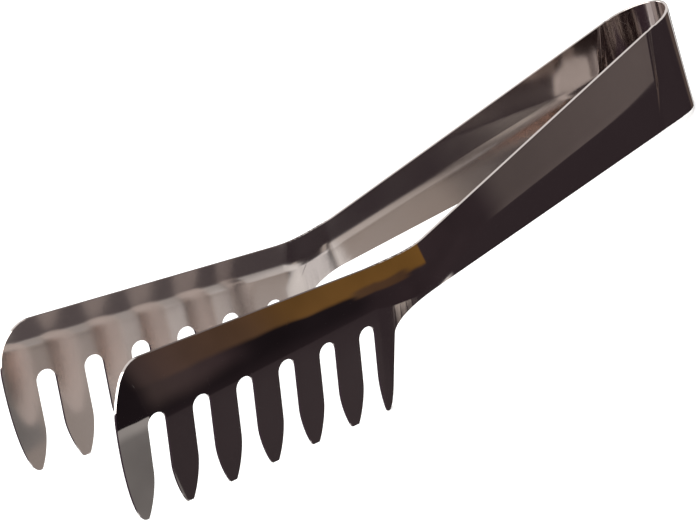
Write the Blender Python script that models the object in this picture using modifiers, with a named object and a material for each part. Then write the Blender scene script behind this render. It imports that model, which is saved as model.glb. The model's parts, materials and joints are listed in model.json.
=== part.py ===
# Spaghetti tongs. One strip of bright steel stands on edge: its middle is bent into a spring bow,
# and each end runs through a creased arm into a comb head with long teeth.
# Metres, +Z up. X runs from the combs to the bow and Y across, and the tongs stand as on a table.

import math

import bmesh
import bpy
from mathutils import Vector
from mathutils.geometry import interpolate_bezier, intersect_line_line

# Sheet
SHEET_THICKNESS = 0.0008
FLEX_CLEARANCE = 0.0003

# Comb head, measured along its spine from the neck corner
TOOTH_COUNT = 7
TOOTH_PITCH = 0.0123
TOOTH_LENGTH = 0.02305
TOOTH_TAPER_LENGTH = 0.0101
TIP_WIDTH = 0.00155
SLOT_WIDTH = 0.00515
SPINE_HEIGHT = 0.0132
CREASE_DEPTH = 0.006
NECK_TO_LAST_SLOT = 0.0119

# Free end of the comb, from the centre of the first slot
END_MARGIN = 0.01045
END_CORNER_WIDTH = 0.0086
END_CORNER_HEIGHT = 0.0131
END_TAPER_WIDTH = 0.0044

# Last tooth, beside the neck
LAST_TOOTH_WIDTH = 0.0058
LAST_TIP_REACH = 0.0044
LAST_TIP_WIDTH = 0.0005
LAST_TIP_RISE = 0.00055
LAST_TIP_ROUND_HEIGHT = 0.00615
LAST_TOOTH_SLANT = math.radians(8.1)
NECK_FILLET_DEPTH = 0.00415
NECK_FILLET_LENGTH = 0.00885

# Arms and bow
HEAD_ANGLE = math.radians(15.2)
ARM_LENGTH = 0.105
NECK_UPPER_HEIGHT = 0.00545
NECK_LOWER_HEIGHT = 0.00585
BOW_WIDTH = 0.02695
BOW_RADIUS = 0.00875
BOW_SHOULDER = 0.0011
BOW_NOSE_REACH = 0.00085
BOW_NOSE_FLARE = 0.00145
BOW_LEAN = math.radians(3.6)
NECK_BEND_LENGTH = 0.008
NECK_TOP_BLEND = 0.0104
ARM_SPLAY = math.radians(5.55)
COMB_SPLAY = math.radians(5.2)
NECK_STEP = 0.0014

# Pressed crease along the arms and the combs, whose folds are angles away from flat
CREASE_SOFTNESS = 0.0016
CREASE_RUN_OUT = 0.00305
CREASE_END_MARGIN = 0.0001
CREASE_END_SLANT = math.radians(13.2)
NECK_UPPER_FOLD = math.radians(6.5)
NECK_LOWER_FOLD = math.radians(4.0)
BOW_FOLD = math.radians(5.2)
SPINE_FOLD = math.radians(9.5)
COMB_LEAN = math.radians(3.2)

# Mesh fineness and the reach of the cutters past the sheet
ARC_STEPS = 12
BOW_STEPS = 32
NECK_STEPS = 10
ARM_STEPS = 8
RUN_OUT_STEPS = 6
CREASE_STEPS = 6
SMOOTH_ANGLE = math.radians(30)
WELD_DISTANCE = 0.000001
CUTTER_MARGIN = 0.004

# Surface
STEEL_COLOR = (0.60, 0.58, 0.56, 1.0)
STEEL_ROUGHNESS = 0.16

# Sizes that follow from those above
HALF_SHEET = SHEET_THICKNESS / 2
SLOT_COUNT = TOOTH_COUNT - 1
FIRST_SLOT = NECK_TO_LAST_SLOT + (SLOT_COUNT - 1) * TOOTH_PITCH
FREE_END = FIRST_SLOT + END_MARGIN
SLOT_TOP = CREASE_DEPTH - SPINE_HEIGHT
TIP_LEVEL = SLOT_TOP - TOOTH_LENGTH
LAST_TIP = NECK_TO_LAST_SLOT - LAST_TIP_REACH - LAST_TIP_WIDTH / 2
LAST_TIP_LEVEL = TIP_LEVEL + LAST_TIP_RISE
BOW_START = ARM_LENGTH - BOW_SHOULDER
ROW_REACH = BOW_WIDTH / 2 + CUTTER_MARGIN
CREASE_END = BOW_START - CREASE_END_MARGIN - ROW_REACH * math.tan(CREASE_END_SLANT)
FULL_CREASE_END = CREASE_END - CREASE_RUN_OUT
ELLIPSE_HANDLE = 4 / 3 * math.tan(math.pi / 8)


def clearScene():
    for item in list(bpy.data.objects):
        bpy.data.objects.remove(item, do_unlink=True)


def newCollection(name, parent):
    collection = bpy.data.collections.new(name)
    parent.children.link(collection)
    return collection


def steel(name):
    material = bpy.data.materials.new(name)
    material.use_nodes = True
    shader = material.node_tree.nodes["Principled BSDF"]
    shader.inputs["Base Color"].default_value = STEEL_COLOR
    shader.inputs["Metallic"].default_value = 1.0
    shader.inputs["Roughness"].default_value = STEEL_ROUGHNESS
    material.diffuse_color = STEEL_COLOR
    return material


# The side view. Its origin is the neck corner, where the creases of arm and comb would meet,
# its first axis runs along the arm to the bow and its second axis runs up.

def headPoint(along, up):
    # along runs down the comb to its free end, and up is the height over its crease
    x = -along * math.cos(HEAD_ANGLE) + up * math.sin(HEAD_ANGLE)
    z = along * math.sin(HEAD_ANGLE) + up * math.cos(HEAD_ANGLE)
    return Vector((x, z))


def edgeHeight(run, side):
    # reach of the tapering strip above (side 1) or below (side -1) its crease
    neckHeight = NECK_UPPER_HEIGHT if side > 0 else NECK_LOWER_HEIGHT
    return neckHeight + (BOW_WIDTH / 2 - neckHeight) * run / ARM_LENGTH


def crossing(start, through, otherStart, otherThrough):
    ends = [point.to_3d() for point in (start, through, otherStart, otherThrough)]
    return intersect_line_line(*ends)[0].to_2d()


def rounded(start, corner, end, steps=ARC_STEPS):
    # a round stretch that leaves start and reaches end along the lines through the corner
    startHandle = start.lerp(corner, ELLIPSE_HANDLE)
    endHandle = end.lerp(corner, ELLIPSE_HANDLE)
    return interpolate_bezier(start, startHandle, endHandle, end, steps + 1)


def blankOutline():
    reach = BOW_START + CUTTER_MARGIN
    upper = [Vector((reach, edgeHeight(reach, 1)))]
    armTop = Vector((NECK_TOP_BLEND, edgeHeight(NECK_TOP_BLEND, 1)))
    spineTop = headPoint(NECK_TOP_BLEND, CREASE_DEPTH)
    cornerStart = headPoint(FREE_END - END_CORNER_WIDTH, CREASE_DEPTH)
    neckTop = crossing(upper[0], armTop, spineTop, cornerStart)
    upper += rounded(armTop, neckTop, spineTop)

    freeEdge = headPoint(FREE_END, CREASE_DEPTH - END_CORNER_HEIGHT)
    firstTip = headPoint(FREE_END - END_TAPER_WIDTH, TIP_LEVEL)
    end = rounded(cornerStart, headPoint(FREE_END, CREASE_DEPTH), freeEdge)
    end += rounded(freeEdge, headPoint(FREE_END, TIP_LEVEL), firstTip)[1:]

    lastSide = NECK_TO_LAST_SLOT - SLOT_WIDTH / 2 - LAST_TOOTH_WIDTH
    sideTop = headPoint(lastSide, SLOT_TOP - NECK_FILLET_DEPTH)
    sideLow = TIP_LEVEL + LAST_TIP_ROUND_HEIGHT
    slant = math.tan(LAST_TOOTH_SLANT)
    sideBottom = headPoint(lastSide + (SLOT_TOP - NECK_FILLET_DEPTH - sideLow) * slant, sideLow)
    tipStart = headPoint(LAST_TIP + LAST_TIP_WIDTH, LAST_TIP_LEVEL)
    tipEnd = headPoint(LAST_TIP, LAST_TIP_LEVEL)
    tipCorner = crossing(sideTop, sideBottom, tipStart, tipEnd)
    armLow = Vector((NECK_FILLET_LENGTH, -edgeHeight(NECK_FILLET_LENGTH, -1)))
    armEnd = Vector((reach, -edgeHeight(reach, -1)))
    neckLow = crossing(sideTop, sideBottom, armLow, armEnd)
    lower = rounded(tipEnd, tipCorner, sideBottom)
    lower += rounded(sideTop, neckLow, armLow)
    lower.append(armEnd)
    return upper + end + lower


def flare(start, end):
    # the curved side of a tapering tooth, leaving the straight slot side without a kink
    fall = (end - start).dot(headPoint(0, -1))
    turnPoint = start + headPoint(0, -1) * (end - start).length_squared / (2 * fall)
    return rounded(start, turnPoint, end)


def slotOutline(index):
    # slots count from the free end of the comb to the neck
    centre = FIRST_SLOT - index * TOOTH_PITCH
    radius = SLOT_WIDTH / 2
    outerMouth = centre + TOOTH_PITCH / 2 - TIP_WIDTH / 2
    innerMouth = centre - TOOTH_PITCH / 2 + TIP_WIDTH / 2
    innerLevel = TIP_LEVEL
    if index == SLOT_COUNT - 1:
        innerMouth = LAST_TIP + LAST_TIP_WIDTH
        innerLevel = LAST_TIP_LEVEL
    waist = TIP_LEVEL + TOOTH_TAPER_LENGTH
    below = TIP_LEVEL - CUTTER_MARGIN
    points = []
    for step in range(ARC_STEPS + 1):
        angle = math.pi * step / ARC_STEPS
        along = centre + radius * math.cos(angle)
        points.append(headPoint(along, SLOT_TOP - radius + radius * math.sin(angle)))
    innerSide = flare(headPoint(centre - radius, waist), headPoint(innerMouth, innerLevel))
    outerSide = flare(headPoint(centre + radius, waist), headPoint(outerMouth, TIP_LEVEL))
    points += innerSide
    points += [headPoint(innerMouth, below), headPoint(outerMouth, below)]
    points += reversed(outerSide)
    return points


# The view from above: how far the sheet's middle surface lies from the tongs' middle plane.

def armLine(x):
    # a straight line that touches the bow
    touchX = ARM_LENGTH + BOW_RADIUS * math.sin(ARM_SPLAY)
    touchY = BOW_RADIUS * math.cos(ARM_SPLAY)
    return touchY + (touchX - x) * math.tan(ARM_SPLAY)


def smoothStep(value, low, high):
    share = min(max((value - low) / (high - low), 0.0), 1.0)
    return share * share * (3 - 2 * share)


def softRamp(value, softness):
    # zero below, the value itself above, and a parabola between
    if value <= -softness:
        return 0.0
    if value >= softness:
        return value
    return (value + softness) ** 2 / (4 * softness)


def creasePoint(station):
    # station runs along the crease: below zero on the comb, above zero on the arm
    if station >= NECK_BEND_LENGTH:
        return Vector((station, 0.0)), Vector((0.0, 1.0))
    if station <= -NECK_BEND_LENGTH:
        return headPoint(-station, 0.0), headPoint(0.0, 1.0)
    share = (station / NECK_BEND_LENGTH + 1) / 2
    combSide = headPoint(NECK_BEND_LENGTH, 0.0)
    armSide = Vector((NECK_BEND_LENGTH, 0.0))
    point = combSide * (1 - share) ** 2 + armSide * share ** 2
    heading = (armSide * share - combSide * (1 - share)).normalized()
    return point, Vector((-heading.y, heading.x))


def armSlope(station, neckFold):
    # the fold changes evenly from the neck to the bow
    share = min(max(station / ARM_LENGTH, 0.0), 1.0)
    return math.tan(neckFold) + (math.tan(BOW_FOLD) - math.tan(neckFold)) * share


def pressedShare(station, across):
    # the crease runs out before the bow, along a line that slants towards it
    squared = station - across * math.tan(CREASE_END_SLANT)
    return 1 - smoothStep(squared, FULL_CREASE_END, CREASE_END)


def sheetOffset(station, across):
    onArm = smoothStep(station, -NECK_BEND_LENGTH, NECK_BEND_LENGTH)
    pressed = pressedShare(station, across)
    armUp = armSlope(station, NECK_UPPER_FOLD) * pressed
    armDown = armSlope(station, NECK_LOWER_FOLD) * pressed
    upSlope = math.tan(SPINE_FOLD) * (1 - onArm) + armUp * onArm
    downSlope = math.tan(COMB_LEAN) * (1 - onArm) + armDown * onArm
    armCrease = armLine(station) + armUp * edgeHeight(max(station, 0.0), 1)
    neckCrease = armLine(0.0) + armSlope(0.0, NECK_UPPER_FOLD) * edgeHeight(0.0, 1) - NECK_STEP
    combCrease = neckCrease - station * math.tan(COMB_SPLAY)
    crease = combCrease * (1 - onArm) + armCrease * onArm
    upFall = upSlope * softRamp(across, CREASE_SOFTNESS)
    downFall = downSlope * softRamp(-across, CREASE_SOFTNESS)
    return crease - upFall - downFall


def spread(low, high, steps):
    return [low + (high - low) * step / steps for step in range(steps + 1)]


def addSheet(name, columns, rows, place, collection):
    # an open grid laid on the middle surface, then thickened to the sheet
    bm = bmesh.new()
    bmesh.ops.create_grid(bm, x_segments=len(columns) - 1, y_segments=len(rows) - 1, size=1)
    for vert in bm.verts:
        column = round((vert.co.x + 1) / 2 * (len(columns) - 1))
        row = round((vert.co.y + 1) / 2 * (len(rows) - 1))
        vert.co = place(columns[column], rows[row])
    mesh = bpy.data.meshes.new(name)
    bm.to_mesh(mesh)
    bm.free()
    mesh.materials.append(steel(name + "_steel"))
    mesh.shade_smooth()
    mesh.set_sharp_from_angle(angle=SMOOTH_ANGLE)
    sheet = bpy.data.objects.new(name, mesh)
    collection.objects.link(sheet)
    thicken = sheet.modifiers.new("sheet_thickness", "SOLIDIFY")
    thicken.thickness = SHEET_THICKNESS
    thicken.offset = 0.0
    thicken.use_even_offset = True
    return sheet


def addCutter(name, outline, halfDepth, collection):
    # a flat outline in the side view, extruded across the tongs
    curve = bpy.data.curves.new(name, "CURVE")
    curve.dimensions = "2D"
    curve.fill_mode = "BOTH"
    curve.extrude = halfDepth
    spline = curve.splines.new("POLY")
    spline.points.add(len(outline) - 1)
    for point, place in zip(spline.points, outline):
        point.co = (place.x, place.y, 0.0, 1.0)
    spline.use_cyclic_u = True
    drawn = bpy.data.objects.new(name, curve)
    collection.objects.link(drawn)
    drawn.rotation_euler.x = math.pi / 2
    bpy.context.view_layer.update()

    evaluated = drawn.evaluated_get(bpy.context.evaluated_depsgraph_get())
    mesh = bpy.data.meshes.new_from_object(evaluated)
    bm = bmesh.new()
    bm.from_mesh(mesh)
    bmesh.ops.remove_doubles(bm, verts=bm.verts, dist=WELD_DISTANCE)
    bmesh.ops.recalc_face_normals(bm, faces=bm.faces)
    bm.to_mesh(mesh)
    bm.free()
    cutter = bpy.data.objects.new(name, mesh)
    collection.objects.link(cutter)
    cutter.matrix_world = drawn.matrix_world
    bpy.data.objects.remove(drawn, do_unlink=True)
    cutter.hide_render = True
    cutter.display_type = "WIRE"
    return cutter


def armStations():
    stations = [-(FREE_END + CUTTER_MARGIN)]
    stations += spread(-NECK_BEND_LENGTH, NECK_BEND_LENGTH, NECK_STEPS)
    stations += spread(NECK_BEND_LENGTH, FULL_CREASE_END, ARM_STEPS)[1:]
    stations += spread(FULL_CREASE_END, CREASE_END, RUN_OUT_STEPS)[1:]
    stations.append(BOW_START)
    return stations


def slantShare(station):
    # the grid's columns turn from upright at the neck to the slant at the crease's end
    if station > CREASE_END:
        return (BOW_START - station) / (BOW_START - CREASE_END)
    share = (station - NECK_BEND_LENGTH) / (FULL_CREASE_END - NECK_BEND_LENGTH)
    return min(max(share, 0.0), 1.0)


def armRows():
    lowest = min(TIP_LEVEL, -BOW_WIDTH / 2) - CUTTER_MARGIN
    return [lowest] + spread(-CREASE_SOFTNESS, CREASE_SOFTNESS, CREASE_STEPS) + [ROW_REACH]


def addArm(name, side, blank, slots, collection, stand):
    pivot = Vector((BOW_START, side * armLine(BOW_START), 0.0))

    def place(column, across):
        station = column + across * math.tan(CREASE_END_SLANT) * slantShare(column)
        base, upward = creasePoint(station)
        point = base + upward * across
        return Vector((point.x, side * sheetOffset(station, across), point.y)) - pivot

    arm = addSheet(name, armStations(), armRows(), place, collection)
    arm.location = pivot
    arm.parent = stand
    trim = arm.modifiers.new("blank", "BOOLEAN")
    trim.operation = "INTERSECT"
    trim.object = blank
    teeth = arm.modifiers.new("slots", "BOOLEAN")
    teeth.operation = "DIFFERENCE"
    teeth.operand_type = "COLLECTION"
    teeth.collection = slots
    return arm


def bowPlace(share, height):
    # share runs from -1 on the right side, round the bow, to 1 on the left side
    start = BOW_START + FLEX_CLEARANCE
    touchX = ARM_LENGTH + BOW_RADIUS * math.sin(ARM_SPLAY)
    straight = (touchX - start) / math.cos(ARM_SPLAY)
    turn = math.pi / 2 - ARM_SPLAY
    arc = turn * BOW_RADIUS
    travelled = abs(share) * (arc + straight)
    if travelled > arc:
        x = touchX - (travelled - arc) * math.cos(ARM_SPLAY)
        return Vector((x, -math.copysign(armLine(x), share), height * edgeHeight(x, height)))
    angle = travelled / BOW_RADIUS
    footHeight = edgeHeight(touchX, height)
    noseHeight = (BOW_WIDTH + BOW_NOSE_FLARE) / 2
    z = height * (footHeight + (noseHeight - footHeight) * (1 - angle / turn))
    bulge = (math.cos(angle) - math.cos(turn)) / (1 - math.cos(turn))
    nose = (BOW_NOSE_REACH + z * math.tan(BOW_LEAN)) * bulge ** 2
    x = ARM_LENGTH + BOW_RADIUS * math.cos(angle) + nose
    return Vector((x, -math.copysign(BOW_RADIUS * math.sin(angle), share), z))


def addBow(collection, stand):
    bow = addSheet("spring_bow", spread(-1, 1, 2 * BOW_STEPS), spread(-1, 1, 2), bowPlace, collection)
    bow.parent = stand
    return bow


def standTilt():
    # the tongs stand on the tips of the last teeth and on the lower edge of the bow
    tip = headPoint(LAST_TIP, LAST_TIP_LEVEL)
    bowBottom = bowPlace(0.0, -1.0)
    outward = Vector((math.cos(BOW_LEAN), -math.sin(BOW_LEAN)))
    heel = Vector((bowBottom.x, bowBottom.z)) + outward * HALF_SHEET
    return math.atan2(heel.y - tip.y, heel.x - tip.x)


def seat(stand, parts):
    # the origin is the centre of the footprint box, on the table
    bpy.context.view_layer.update()
    depsgraph = bpy.context.evaluated_depsgraph_get()
    corners = []
    for part in parts:
        evaluated = part.evaluated_get(depsgraph)
        corners += [part.matrix_world @ vert.co for vert in evaluated.data.vertices]
    lowX = min(corner.x for corner in corners)
    highX = max(corner.x for corner in corners)
    lowZ = min(corner.z for corner in corners)
    stand.location = (-(lowX + highX) / 2, 0.0, -lowZ)
    bpy.context.view_layer.update()


def build():
    clearScene()
    scene = bpy.context.scene.collection
    tongs = newCollection("spaghetti_tongs", scene)
    cutters = newCollection("cutters", scene)
    slots = newCollection("slot_cutters", cutters)

    stand = bpy.data.objects.new("stand", None)
    tongs.objects.link(stand)
    widest = armLine(-FREE_END) + CUTTER_MARGIN
    blank = addCutter("blank_outline", blankOutline(), widest, cutters)
    blank.parent = stand
    for index in range(SLOT_COUNT):
        slot = addCutter(f"slot_outline_{index + 1}", slotOutline(index), 2 * widest, slots)
        slot.parent = stand

    parts = [addBow(tongs, stand)]
    parts.append(addArm("left_arm", -1, blank, slots, tongs, stand))
    parts.append(addArm("right_arm", 1, blank, slots, tongs, stand))
    stand.rotation_euler.y = standTilt()
    seat(stand, parts)


build()
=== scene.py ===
import json
import math

import bpy
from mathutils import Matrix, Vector


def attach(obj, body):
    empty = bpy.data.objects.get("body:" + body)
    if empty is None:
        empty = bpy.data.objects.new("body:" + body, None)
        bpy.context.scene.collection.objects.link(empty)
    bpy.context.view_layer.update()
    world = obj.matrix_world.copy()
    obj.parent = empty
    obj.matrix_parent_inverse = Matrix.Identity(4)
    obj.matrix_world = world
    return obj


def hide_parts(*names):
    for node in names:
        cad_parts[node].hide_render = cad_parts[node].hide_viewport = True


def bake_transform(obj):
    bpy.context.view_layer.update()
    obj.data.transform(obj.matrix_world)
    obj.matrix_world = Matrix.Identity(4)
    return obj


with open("model.json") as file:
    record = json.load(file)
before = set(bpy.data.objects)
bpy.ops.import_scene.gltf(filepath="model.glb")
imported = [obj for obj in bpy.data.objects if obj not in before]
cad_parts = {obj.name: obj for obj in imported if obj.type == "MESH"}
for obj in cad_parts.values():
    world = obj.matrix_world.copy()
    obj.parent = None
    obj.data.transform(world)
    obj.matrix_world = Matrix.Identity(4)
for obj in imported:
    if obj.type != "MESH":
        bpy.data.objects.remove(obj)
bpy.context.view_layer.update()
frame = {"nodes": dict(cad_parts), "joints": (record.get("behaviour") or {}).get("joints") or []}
print("frame loaded:", ", ".join(sorted(frame["nodes"])))

# what a user would change on the folded strip of steel, lengths in metres
strip = {
    "weld": 0.000002,         # points nearer than this are one point
    "seamReach": 0.00002,     # points this near a seam's plane lie on it
    "edgeRound": 0.0002,      # tumbled after stamping, so each cut edge is a little round
    "edgeSteps": 3,
    "sharpFrom": 50.0,        # an edge that turns more than this is a cut edge
    "smoothUpTo": 30.0,       # anything softer shades as one surface
    "flexLength": 0.014,      # length of arm next to the bow that shares its bending
}


def pickOnly(piece):
    if bpy.context.mode != "OBJECT":
        bpy.ops.object.mode_set(mode="OBJECT")
    bpy.ops.object.select_all(action="DESELECT")
    piece.select_set(True)
    bpy.context.view_layer.objects.active = piece


def copyNode(node, name):
    piece = bpy.data.objects.new(name, frame["nodes"][node].data.copy())
    bpy.context.scene.collection.objects.link(piece)
    pickOnly(piece)
    bpy.ops.object.mode_set(mode="EDIT")
    bpy.ops.mesh.select_all(action="SELECT")
    bpy.ops.mesh.customdata_custom_splitnormals_clear()
    bpy.ops.mesh.remove_doubles(threshold=strip["weld"])
    bpy.ops.object.mode_set(mode="OBJECT")
    return piece


def seamAt(arm, bow, joint):
    # the strip is one piece, so the arm's end face and the foot of the bow meet at one plane
    place = Vector(joint["pos_m"])
    along = arm.closest_point_on_mesh(place)[2].normalized()
    gap = (bow.closest_point_on_mesh(place)[1] - place).dot(along)
    return {"place": place, "along": along, "gap": gap}


def onSeam(place, seam):
    # on either face of the seam, and on the same side of the tongs
    depth = (place - seam["place"]).dot(seam["along"])
    sameSide = place.y * seam["place"].y > 0
    return sameSide and -strip["seamReach"] < depth < seam["gap"] + strip["seamReach"]


def closeSeam(arm, seam):
    # the end face at the bow moves along the arm until it meets the foot of the bow
    pickOnly(arm)
    for part in (arm.data.polygons, arm.data.edges):
        for element in part:
            element.select = False
    for vertex in arm.data.vertices:
        vertex.select = onSeam(vertex.co, seam)
    bpy.ops.object.mode_set(mode="EDIT")
    bpy.ops.transform.translate(value=seam["along"] * seam["gap"])
    bpy.ops.object.mode_set(mode="OBJECT")


def roundEdges(piece, seams):
    # every cut edge is rounded, apart from those of the hidden faces at the seams
    pickOnly(piece)
    bpy.ops.object.mode_set(mode="EDIT")
    bpy.ops.mesh.select_all(action="DESELECT")
    bpy.ops.mesh.select_mode(type="EDGE")
    bpy.ops.mesh.edges_select_sharp(sharpness=math.radians(strip["sharpFrom"]))
    bpy.ops.object.mode_set(mode="OBJECT")
    for edge in piece.data.edges:
        ends = [piece.data.vertices[index].co for index in edge.vertices]
        if any(all(onSeam(end, seam) for end in ends) for seam in seams):
            edge.select = False
    bpy.ops.object.mode_set(mode="EDIT")
    bpy.ops.mesh.bevel(offset=strip["edgeRound"], segments=strip["edgeSteps"], affect="EDGES",
                       clamp_overlap=True, profile=0.5)
    bpy.ops.mesh.select_mode(type="VERT")
    bpy.ops.object.mode_set(mode="OBJECT")


def finishShading(piece):
    pickOnly(piece)
    bpy.ops.object.shade_smooth_by_angle(angle=math.radians(strip["smoothUpTo"]))
    weigh = piece.modifiers.new("flat_panels", "WEIGHTED_NORMAL")
    weigh.mode = "FACE_AREA"
    weigh.weight = 50
    weigh.keep_sharp = True
    bpy.ops.object.modifier_apply(modifier=weigh.name)


joints = {joint["child"]: joint for joint in frame["joints"]}
arms = {"left": "left_arm", "right": "right_arm"}
bow = copyNode("spring_bow", "spring_bow_steel")
pieces = {"spring_bow": bow}
seams = {}
for body, node in arms.items():
    pieces[node] = copyNode(node, node + "_steel")
    seams[body] = seamAt(pieces[node], bow, joints[body])
    closeSeam(pieces[node], seams[body])
    print(node, "seam closed over", round(seams[body]["gap"] * 1000, 3), "mm")
for node, piece in pieces.items():
    roundEdges(piece, seams.values())
    finishShading(piece)
    print(piece.name, len(piece.data.polygons), "faces")


def linear(code):
    # sRGB hex to the linear colour that the shader wants
    channels = []
    for at in (0, 2, 4):
        value = int(code[at:at + 2], 16) / 255
        channels.append(value / 12.92 if value <= 0.04045 else ((value + 0.055) / 1.055) ** 2.4)
    return (*channels, 1.0)


def addNode(tree, kind, settings=None, inputs=None, links=None):
    # one node with its settings, its fixed values and what feeds it
    node = tree.nodes.new(kind)
    for key, value in (settings or {}).items():
        setattr(node, key, value)
    for key, value in (inputs or {}).items():
        node.inputs[key].default_value = value
    for key, socket in (links or {}).items():
        tree.links.new(socket, node.inputs[key])
    return node


def newMaterial(name):
    material = bpy.data.materials.new(name)
    material.use_nodes = True
    material.node_tree.nodes.clear()
    return material, material.node_tree


# stainless strip, mirror buffed before it was stamped. The eye sees a dark or bright mirror, a little
# wavy from the press, with lengthwise buffing lines, hazy patches, specks and a few wear scratches.
steel = {
    "colour": "cec4bf",
    "roughness": 0.05,
    "haze": 0.05,            # roughness added in the hazy patches
    "hazePerMetre": 55,      # patches about 18 mm across, left by the buffing wheel
    "hazeFrom": (0.35, 0.75),
    "toneFrom": (0.3, 0.8),
    "tone": (1.03, 0.93),    # a hazy patch is also a little darker
    "wavePerMetre": 38,      # press waviness, about 26 mm from crest to crest
    "waveHeight": 0.00004,
    "linesAlong": 26,        # a buffing line runs for about 40 mm
    "linesAcross": 1500,     # real lines are 0.02 mm apart, drawn 0.7 mm apart so that they show
    "lineHeight": 0.0000012,
    "specksPerMetre": 240,   # cells of about 4 mm, with one speck at most in each
    "speckSize": 0.035,      # of a cell, so about 0.3 mm across, twice the real ones
    "speckFree": 0.72,       # share of the cells that stays clean
    "speckSeed": 3.0,
    "scratchAlong": 34,      # cells of 29 by 1.6 mm
    "scratchAcross": 620,
    "scratchSize": 0.105,    # of a cell, so 6 mm long and 0.3 mm wide, where real ones are 0.03 mm
    "scratchFree": 0.94,
    "scratchSeed": 11.0,
    "scratchTurns": (31, -52, 84),   # degrees in the plane of the arms
    "scratchLean": 7,
    "wornRoughness": 0.26,
    "innerRoughness": 0.09,  # the inner faces get less of the buffing wheel
    "innerFrom": -0.35,      # how far a face has to look inwards to count as one
}


def spotMask(tree, vector, size, free, seed):
    # small round spots, one in each cell, apart from the share of the cells that is left clean
    cell = addNode(tree, "ShaderNodeTexVoronoi", {"feature": "F1"}, {"Scale": 1.0}, {"Vector": vector})
    spot = addNode(tree, "ShaderNodeMapRange", inputs={"From Min": size, "From Max": size * 0.5},
                   links={"Value": cell.outputs["Distance"]})
    chance = addNode(tree, "ShaderNodeTexWhiteNoise", {"noise_dimensions": "4D"}, {"W": seed},
                     {"Vector": cell.outputs["Position"]})
    kept = addNode(tree, "ShaderNodeMath", {"operation": "GREATER_THAN"}, {1: free},
                   {0: chance.outputs["Value"]})
    mask = addNode(tree, "ShaderNodeMath", {"operation": "MULTIPLY"},
                   links={0: spot.outputs[0], 1: kept.outputs[0]})
    return mask.outputs[0]


def buffedStainless(name, roughness):
    material, tree = newMaterial(name)
    place = addNode(tree, "ShaderNodeTexCoord").outputs["Object"]
    wave = addNode(tree, "ShaderNodeTexNoise", inputs={"Scale": steel["wavePerMetre"], "Detail": 1.0},
                   links={"Vector": place})
    stretched = addNode(tree, "ShaderNodeMapping", inputs={
        "Scale": (steel["linesAlong"], steel["linesAcross"], steel["linesAcross"])}, links={"Vector": place})
    lines = addNode(tree, "ShaderNodeTexNoise", inputs={"Scale": 1.0, "Detail": 3.0},
                    links={"Vector": stretched.outputs[0]})
    haze = addNode(tree, "ShaderNodeTexNoise", inputs={"Scale": steel["hazePerMetre"], "Detail": 4.0,
                                                       "Roughness": 0.6}, links={"Vector": place})
    cells = addNode(tree, "ShaderNodeVectorMath", {"operation": "SCALE"},
                    {"Scale": steel["specksPerMetre"]}, {0: place})
    worn = spotMask(tree, cells.outputs[0], steel["speckSize"], steel["speckFree"], steel["speckSeed"])
    for number, turn in enumerate(steel["scratchTurns"]):
        # long thin cells, turned in the plane of the arms, make the spots into scratches
        turned = addNode(tree, "ShaderNodeMapping", inputs={
            "Rotation": (0, math.radians(turn), math.radians(steel["scratchLean"] * number))},
            links={"Vector": place})
        drawn = addNode(tree, "ShaderNodeMapping", inputs={
            "Scale": (steel["scratchAlong"], steel["scratchAlong"], steel["scratchAcross"])},
            links={"Vector": turned.outputs[0]})
        scratch = spotMask(tree, drawn.outputs[0], steel["scratchSize"], steel["scratchFree"],
                           number + steel["scratchSeed"])
        worn = addNode(tree, "ShaderNodeMath", {"operation": "MAXIMUM"},
                       links={0: worn, 1: scratch}).outputs[0]
    low, high = steel["hazeFrom"]
    hazy = addNode(tree, "ShaderNodeMapRange", inputs={
        "From Min": low, "From Max": high, "To Min": roughness, "To Max": roughness + steel["haze"]},
        links={"Value": haze.outputs[0]})
    rough = addNode(tree, "ShaderNodeMix", {"data_type": "FLOAT"}, {3: steel["wornRoughness"]},
                    {0: worn, 2: hazy.outputs[0]})
    low, high = steel["toneFrom"]
    clean, dull = steel["tone"]
    tone = addNode(tree, "ShaderNodeMapRange", inputs={
        "From Min": low, "From Max": high, "To Min": clean, "To Max": dull},
        links={"Value": haze.outputs[0]})
    colour = addNode(tree, "ShaderNodeVectorMath", {"operation": "SCALE"},
                     {0: linear(steel["colour"])[:3]}, {"Scale": tone.outputs[0]})
    press = addNode(tree, "ShaderNodeBump", inputs={"Strength": 1.0, "Distance": steel["waveHeight"]},
                    links={"Height": wave.outputs[0]})
    buffed = addNode(tree, "ShaderNodeBump", inputs={"Strength": 1.0, "Distance": steel["lineHeight"]},
                     links={"Height": lines.outputs[0], "Normal": press.outputs[0]})
    shader = addNode(tree, "ShaderNodeBsdfPrincipled", inputs={"Metallic": 1.0}, links={
        "Base Color": colour.outputs[0], "Roughness": rough.outputs[0], "Normal": buffed.outputs[0]})
    addNode(tree, "ShaderNodeOutputMaterial", links={"Surface": shader.outputs["BSDF"]})
    return material


def innerFaces(piece, bowMiddle):
    # faces that look towards the other arm, or into the bow, get the second material
    for face in piece.data.polygons:
        outward = Vector((max(face.center.x - bowMiddle, 0.0), face.center.y, 0.0))
        face.material_index = 1 if face.normal.dot(outward.normalized()) < steel["innerFrom"] else 0


outerFinish = buffedStainless("mirror_buffed_stainless", steel["roughness"])
innerFinish = buffedStainless("half_buffed_inner_stainless", steel["innerRoughness"])
bowMiddle = max(seam["place"].x for seam in seams.values())
for node, piece in pieces.items():
    piece.data.materials.clear()
    piece.data.materials.append(outerFinish)
    piece.data.materials.append(innerFinish)
    innerFaces(piece, bowMiddle)
    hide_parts(node)
print("steel finishes given to", len(pieces), "pieces")

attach(bow, "bow")
for body, node in arms.items():
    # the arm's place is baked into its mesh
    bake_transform(pieces[node])
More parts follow.
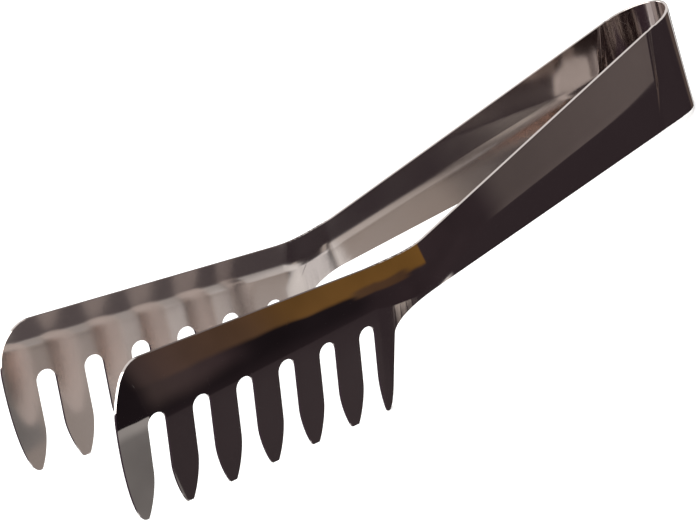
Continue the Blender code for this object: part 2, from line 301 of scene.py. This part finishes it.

# A white tent stands round the tongs, seen only in the steel, and glows. In it hang soft-edged cards that
# paint the reflections in the steel, most of them painted shade and a few painted highlights.
# Each card has its ends, in degrees round from the front towards the bow, its foot and head in degrees
# above the horizon, the softness of these four, the colours that the steel shows at both ends, and the
# number of mirrorings after which it shows them. Each card lies over those before it.
tent = {
    "radius": 8.0,
    "middle": (0, 0, 0.03),
    "white": "cec4bf",
    "cards": {
        # painted reflections: a dark front below, painted shade on the arms and bow, and light streaks as
        # painted highlights
        "paintedDarkFront": (17.4, 109, -64, -16.4, (3.0, 7.0, 8.0, 0.6), "2f2628", "2a2123", 1),
        "rim": (86, 112, -60, -16, (10.0, 5.0, 8.0, 2.0), "4a3d38", "4a3d38", 1),
        "farShade": (-14, 18.5, -64, -31.5, (8.0, 3.0, 8.0, 9.0), "625857", "352c2d", 1),
        "farDim": (1, 13.5, -21, -8, (4.0, 8.0, 2.0, 4.0), "7d7068", "897d77", 1),
        "farCrease": (-4, 15, -33, -20.5, (4.0, 6.0, 5.0, 2.0), "857a75", "9a918c", 1),
        "streak": (15.5, 21, -31, -20.8, (2.0, 2.5, 3.0, 1.2), "b8aba3", "9a8c84", 1),
        "neckLight": (22.8, 31.8, -24.0, -19.4, (1.2, 0.8, 1.0, 0.8), "d2cac4", "d2cac4", 1),
        "farLight": (23.6, 27.2, -34.0, -24.6, (0.8, 0.6, 0.4, 1.6), "a3958b", "aa9c93", 1),
        "armFoot": (14.8, 20.5, -20.4, -15.8, (0.8, 0.9, 1.0, 1.0), "8d7f78", "8a7b71", 1),
        "shelf": (19.5, 60, -16.6, -6, (2.0, 6.0, 0.6, 4.0), "3a3131", "332a2b", 1),
        "armGrey": (34.0, 48.2, -29.9, -11.5, (3.0, 0.8, 0.6, 1.0), "352c2b", "5a4f4c", 1),
        "teeth": (26.0, 41.0, -60, -36.9, (2.0, 1.0, 6.0, 0.5), "302829", "3a3132", 1),
        "leftFarCard": (-162, -74, -60, 40, (8.0, 5.0, 8.0, 10.0), "2c2024", "2c2024", 2),
        "leftHigh": (-164, -138, 6, 30, (6.0, 6.0, 5.0, 5.0), "59666d", "59666d", 1),
        "leftCard": (-77, -17, -60, 40, (6.0, 3.0, 8.0, 10.0), "2e2324", "2e2324", 1),
        "leftStripe": (-98, -77, -20, -2, (2.0, 1.0, 4.0, 4.0), "9f928e", "9f928e", 1),
        "behindArm": (159, 172.5, -27.6, -19.8, (2.0, 1.4, 1.2, 1.0), "2c2223", "2c2223", 2),
        "behindShelf": (166.4, 171.8, -17.4, 16, (0.8, 0.8, 3.0, 3.0), "2a201e", "2a201e", 2),
        "behindLow": (169, 190, -37, -28, (1.0, 1.0, 3.0, 1.0), "5f5350", "6f625e", 2),
        "behindLowToo": (-190, -170, -37, -28, (1.0, 4.0, 3.0, 1.0), "6f625e", "5a4e4b", 2),
        "behindEnd": (165.1, 170.0, -34.5, -29.5, (0.5, 1.0, 1.0, 1.0), "5f524c", "5f524c", 2),
        "topEdge": (128, 162, -4, 16, (6.0, 6.0, 2.0, 3.0), "655955", "655955", 1),
        "backCard": (120, 158, -60, -6, (10.0, 5.0, 12.0, 10.0), "4a4442", "8a827d", 1),
    },
}

# Three narrow flags hang just in front of the near comb and neck, also seen only in the steel, and glow with
# painted reflections: painted shade and a painted golden-brown band on the near comb, the grey of its end
# tooth, and pale patches at the neck and the tips. Their cards
# are given in millimetres: along the tongs, and up from a line that may fall with the comb. A flag is solid
# only inside its patches, each with its ends, foot, head, their softness and its lowest place on the line.
flags = {
    "distance": -0.030,
    "wavy": 1.6,             # mm, how uneven the cards' edges are
    "wavesPerMetre": 60,
    "patchy": (0.84, 1.14),
    "comb": {
        "fall": 0.343,       # how far the line falls in each length along
        "ends": (-0.110, 0.040),
        "heights": (0.007, 0.070),
        "behind": "191315",
        "patches": {
            "overComb": (-85.6, 30, 7.8, 200, (0.2, 12.0, 0.2, 1.0), 8.8),
            "overTooth": (-200, -85.6, 13, 200, (1.0, 0.2, 0.5, 1.0), -200),
        },
        "cards": {
            # painted reflections on the near comb: dark foot, neck and shoulder, a golden-brown band, and the
            # grey end tooth with a lighter painted rim
            "foot": (-85.2, 0, -40, 10.6, (0.4, 8.0, 1.0, 5.0), "221a1c", "241c1e", 1),
            "neck": (-16, 60, -40, 60, (12.0, 1.0, 1.0, 1.0), "2c2224", "302729", 1),
            "shoulder": (-84, -58, 13.5, 30, (6.0, 14.0, 6.0, 2.0), "3a2f2d", "35292a", 1),
            "paintedGoldenBandEnd": (-82, -28, 20.4, 60, (12.0, 12.0, 3.0, 1.0), "40322f", "5a3f25", 1),
            "paintedGoldenBand": (-44, 1.2, 20.4, 60, (16.0, 0.8, 3.0, 1.0), "5c4022", "654620", 1),
            "paintedGoldenBandFoot": (-20, -8, 17.5, 22, (4.0, 4.0, 2.0, 1.0), "4a3525", "453022", 1),
            "tooth": (-200, -85.6, -60, 11.6, (1.0, 0.3, 1.0, 0.3), "5f5a57", "6a6461", 1),
            "toothRim": (-200, -85.6, 9.0, 11.6, (1.0, 0.3, 3.0, 0.3), "88817d", "88817d", 1),
        },
    },
    "neck": {
        "fall": 0.0,
        "ends": (-0.014, 0.0098),
        "heights": (-0.009, 0.0064),
        "behind": tent["white"],
        "patches": {"underNeck": (-10, 8.5, -5, 20, (1.0, 4.0, 2.0, 1.0), -200)},
        "cards": {
            "pale": (-40, 60, -40, 40, (1.0, 1.0, 1.0, 1.0), "c6bcb5", "d6cec9", 1),
        },
    },
    "tips": {
        "fall": 0.0,
        "ends": (-0.100, -0.030),
        "heights": (-0.030, -0.006),
        "behind": tent["white"],
        "patches": {"underTips": (-97, -40, -40, -9, (2.0, 8.0, 1.0, 4.0), -200)},
        "cards": {"pale": (-200, 60, -60, 60, (1.0, 1.0, 1.0, 1.0), "d6ccc5", "d6ccc5", 1)},
    },
}


def between(tree, value, low, high, softLow, softHigh):
    # 1 from low to high, with soft ends centred there
    ends = []
    for edge, soft, inward in ((low, softLow, 1), (high, softHigh, -1)):
        ends.append(addNode(tree, "ShaderNodeMapRange", {"interpolation_type": "SMOOTHSTEP"},
                            {"From Min": edge - inward * soft / 2, "From Max": edge + inward * soft / 2},
                            {"Value": value}))
    both = addNode(tree, "ShaderNodeMath", {"operation": "MULTIPLY"},
                   links={0: ends[0].outputs[0], 1: ends[1].outputs[0]})
    return both.outputs[0]


def glowFor(code, bounces):
    # the light that a card must give for the steel to show this colour after so many mirrorings
    shown = linear(code)
    mirror = linear(steel["colour"])
    return tuple(min(shown[i] / mirror[i] ** bounces, 1.0) for i in range(3)) + (1.0,)


def hangCards(tree, along, up, cards, behind):
    colour = None
    for left, right, foot, head, soft, leftColour, rightColour, bounces in cards.values():
        wide = between(tree, along, left, right, soft[0], soft[1])
        tall = between(tree, up, foot, head, soft[2], soft[3])
        cover = addNode(tree, "ShaderNodeMath", {"operation": "MULTIPLY"}, links={0: wide, 1: tall})
        across = addNode(tree, "ShaderNodeMapRange", inputs={"From Min": left, "From Max": right},
                         links={"Value": along})
        card = addNode(tree, "ShaderNodeMix", {"data_type": "RGBA"},
                       {6: glowFor(leftColour, bounces), 7: glowFor(rightColour, bounces)},
                       {0: across.outputs[0]})
        layer = addNode(tree, "ShaderNodeMix", {"data_type": "RGBA"}, {6: glowFor(behind, 1)},
                        {0: cover.outputs[0], 7: card.outputs[2]})
        if colour:
            tree.links.new(colour, layer.inputs[6])
        colour = layer.outputs[2]
    return colour


def tentMaterial():
    # the tent's glow paints the steel's reflections, card by card, by direction from its middle
    material, tree = newMaterial("tent_of_painted_reflections")
    place = addNode(tree, "ShaderNodeTexCoord")
    outward = addNode(tree, "ShaderNodeVectorMath", {"operation": "NORMALIZE"},
                      links={0: place.outputs["Object"]})
    axes = addNode(tree, "ShaderNodeSeparateXYZ", links={"Vector": outward.outputs[0]})
    front = addNode(tree, "ShaderNodeMath", {"operation": "MULTIPLY"}, {1: -1.0}, {0: axes.outputs["Y"]})
    turn = addNode(tree, "ShaderNodeMath", {"operation": "ARCTAN2"},
                   links={0: axes.outputs["X"], 1: front.outputs[0]})
    rise = addNode(tree, "ShaderNodeMath", {"operation": "ARCSINE"}, links={0: axes.outputs["Z"]})
    degrees = [addNode(tree, "ShaderNodeMath", {"operation": "DEGREES"}, links={0: angle.outputs[0]})
               for angle in (turn, rise)]
    colour = hangCards(tree, degrees[0].outputs[0], degrees[1].outputs[0], tent["cards"], tent["white"])
    glow = addNode(tree, "ShaderNodeEmission", inputs={"Strength": 1.0}, links={"Color": colour})
    addNode(tree, "ShaderNodeOutputMaterial", links={"Surface": glow.outputs[0]})
    material.cycles.emission_sampling = "NONE"
    return material


def flagMaterial(name, flag):
    # a flag's glow paints reflections on the nearby steel, by place along the tongs
    material, tree = newMaterial("painted_reflection_flag_by_the_" + name)
    place = addNode(tree, "ShaderNodeTexCoord").outputs["Object"]
    uneven = addNode(tree, "ShaderNodeTexNoise", inputs={"Scale": flags["wavesPerMetre"], "Detail": 2.0},
                     links={"Vector": place})
    millimetres = addNode(tree, "ShaderNodeVectorMath", {"operation": "SCALE"}, {"Scale": 1000.0}, {0: place})
    axes = addNode(tree, "ShaderNodeSeparateXYZ", links={"Vector": millimetres.outputs[0]})
    along, height = axes.outputs["X"], axes.outputs["Z"]
    line = addNode(tree, "ShaderNodeMath", {"operation": "MULTIPLY_ADD"}, {1: flag["fall"]},
                   {0: along, 2: height})
    wave = addNode(tree, "ShaderNodeMapRange", inputs={
        "From Min": 0.25, "From Max": 0.75, "To Min": -flags["wavy"] / 2, "To Max": flags["wavy"] / 2},
        links={"Value": uneven.outputs[0]})
    up = addNode(tree, "ShaderNodeMath", {"operation": "ADD"}, links={0: line.outputs[0], 1: wave.outputs[0]})
    colour = hangCards(tree, along, up.outputs[0], flag["cards"], flag["behind"])
    shade = addNode(tree, "ShaderNodeMapRange", inputs={
        "From Min": 0.3, "From Max": 0.7, "To Min": flags["patchy"][0], "To Max": flags["patchy"][1]},
        links={"Value": uneven.outputs[0]})
    shaded = addNode(tree, "ShaderNodeVectorMath", {"operation": "SCALE"},
                     links={0: colour, "Scale": shade.outputs[0]})
    solid = None
    for left, right, foot, head, soft, lowest in flag["patches"].values():
        wide = between(tree, along, left, right, soft[0], soft[1])
        tall = between(tree, height, foot, head, soft[2], soft[3])
        above = addNode(tree, "ShaderNodeMath", {"operation": "GREATER_THAN"}, {1: lowest},
                        {0: line.outputs[0]})
        patch = addNode(tree, "ShaderNodeMath", {"operation": "MULTIPLY"}, links={0: wide, 1: tall})
        patch = addNode(tree, "ShaderNodeMath", {"operation": "MULTIPLY"},
                        links={0: patch.outputs[0], 1: above.outputs[0]})
        if solid:
            patch = addNode(tree, "ShaderNodeMath", {"operation": "MAXIMUM"},
                            links={0: solid, 1: patch.outputs[0]})
        solid = patch.outputs[0]
    glow = addNode(tree, "ShaderNodeEmission", inputs={"Strength": 1.0}, links={"Color": shaded.outputs[0]})
    clear = addNode(tree, "ShaderNodeBsdfTransparent")
    mix = addNode(tree, "ShaderNodeMixShader", links={0: solid, 1: clear.outputs[0], 2: glow.outputs[0]})
    addNode(tree, "ShaderNodeOutputMaterial", links={"Surface": mix.outputs[0]})
    material.cycles.emission_sampling = "NONE"
    return material


def onlyInSteel(card, name, material):
    card.name = name
    card.data.materials.append(material)
    card.visible_camera = False
    card.visible_diffuse = False
    card.visible_shadow = False
    card.visible_transmission = False
    card.visible_volume_scatter = False


bpy.ops.mesh.primitive_uv_sphere_add(segments=64, ring_count=32, radius=tent["radius"],
                                     location=tent["middle"])
onlyInSteel(bpy.context.object, "tent", tentMaterial())
for name in ("comb", "neck", "tips"):
    flag = flags[name]
    left, right = flag["ends"]
    foot, head = flag["heights"]
    bpy.ops.mesh.primitive_plane_add(size=1, rotation=(math.radians(90), 0, 0), location=(
        (left + right) / 2, flags["distance"], (foot + head) / 2))
    card = bpy.context.object
    card.scale = (right - left, head - foot, 1)
    pickOnly(card)
    bpy.ops.object.transform_apply(location=True, rotation=True, scale=True)
    onlyInSteel(card, name + "_flag", flagMaterial(name, flag))
print("tent and three flags hung,", len(tent["cards"]), "cards in the tent")

studio = {
    "paper": "f4f4f2",
    "floorSize": 6,
    "floorGlow": 0.35,       # brings the lit paper up to white in the picture only
    "skyOnThings": 0.6,      # the plain sky as the floor and the steel's dull spots get it
}


def seenDirectly(tree):
    # 1 for what the camera, a mirror or clear glass shows, 0 for light that falls on things
    path = addNode(tree, "ShaderNodeLightPath")
    seen = addNode(tree, "ShaderNodeMath", {"operation": "MAXIMUM"},
                   links={0: path.outputs["Is Camera Ray"], 1: path.outputs["Is Glossy Ray"]})
    seenToo = addNode(tree, "ShaderNodeMath", {"operation": "MAXIMUM"},
                      links={0: seen.outputs[0], 1: path.outputs["Is Transmission Ray"]})
    return seenToo.outputs[0]


bpy.ops.mesh.primitive_plane_add(size=studio["floorSize"])
floor = bpy.context.object
floor.name = "floor"
floorMaterial, tree = newMaterial("pale_floor")
strength = addNode(tree, "ShaderNodeMath", {"operation": "MULTIPLY"}, {1: studio["floorGlow"]},
                   {0: seenDirectly(tree)})
shader = addNode(tree, "ShaderNodeBsdfPrincipled", inputs={
    "Base Color": linear(studio["paper"]), "Roughness": 0.9, "Specular IOR Level": 0.0,
    "Emission Color": (1, 1, 1, 1)}, links={"Emission Strength": strength.outputs[0]})
addNode(tree, "ShaderNodeOutputMaterial", links={"Surface": shader.outputs[0]})
floor.data.materials.append(floorMaterial)
floor.visible_glossy = False

world = bpy.data.worlds.new("studio")
bpy.context.scene.world = world
world.use_nodes = True
tree = world.node_tree
tree.nodes.clear()
level = addNode(tree, "ShaderNodeMapRange", inputs={"To Min": studio["skyOnThings"], "To Max": 1.0},
                links={"Value": seenDirectly(tree)})
shine = addNode(tree, "ShaderNodeBackground", inputs={"Color": (1, 1, 1, 1)},
                links={"Strength": level.outputs[0]})
addNode(tree, "ShaderNodeOutputWorld", links={"Surface": shine.outputs[0]})

# each lamp's place, what it points at, its size in metres and its power in watts
lamps = {
    "overhead": ((0.0, 0.0, 0.9), (0.0, 0.0, 0.0), 0.7, 6.0),
    "backSoftbox": ((-0.5, 0.8, 0.35), (0.0, 0.0, 0.02), 0.6, 5.0),
}
for name, (place, aim, size, power) in lamps.items():
    data = bpy.data.lights.new(name, "AREA")
    data.size = size
    data.energy = power
    lamp = bpy.data.objects.new(name, data)
    bpy.context.scene.collection.objects.link(lamp)
    lamp.location = place
    lamp.rotation_euler = (Vector(place) - Vector(aim)).to_track_quat("Z", "Y").to_euler()

# the photograph's own view
view = {
    "place": (-0.234788, -0.418464, 0.269297),
    "degrees": (60.29147, 23.60611, -40.53516),
    "lens": 114.316,
    "sensor": 36,
    "clip": (0.01, 20),
}
cameraData = bpy.data.cameras.new("camera")
cameraData.lens = view["lens"]
cameraData.sensor_width = view["sensor"]
cameraData.clip_start, cameraData.clip_end = view["clip"]
camera = bpy.data.objects.new("camera", cameraData)
bpy.context.scene.collection.objects.link(camera)
camera.location = view["place"]
camera.rotation_euler = [math.radians(angle) for angle in view["degrees"]]
bpy.context.scene.camera = camera
bpy.context.scene.view_settings.view_transform = "Standard"
bpy.context.scene.cycles.glossy_bounces = 10   # the arms mirror each other
print("studio and camera set")
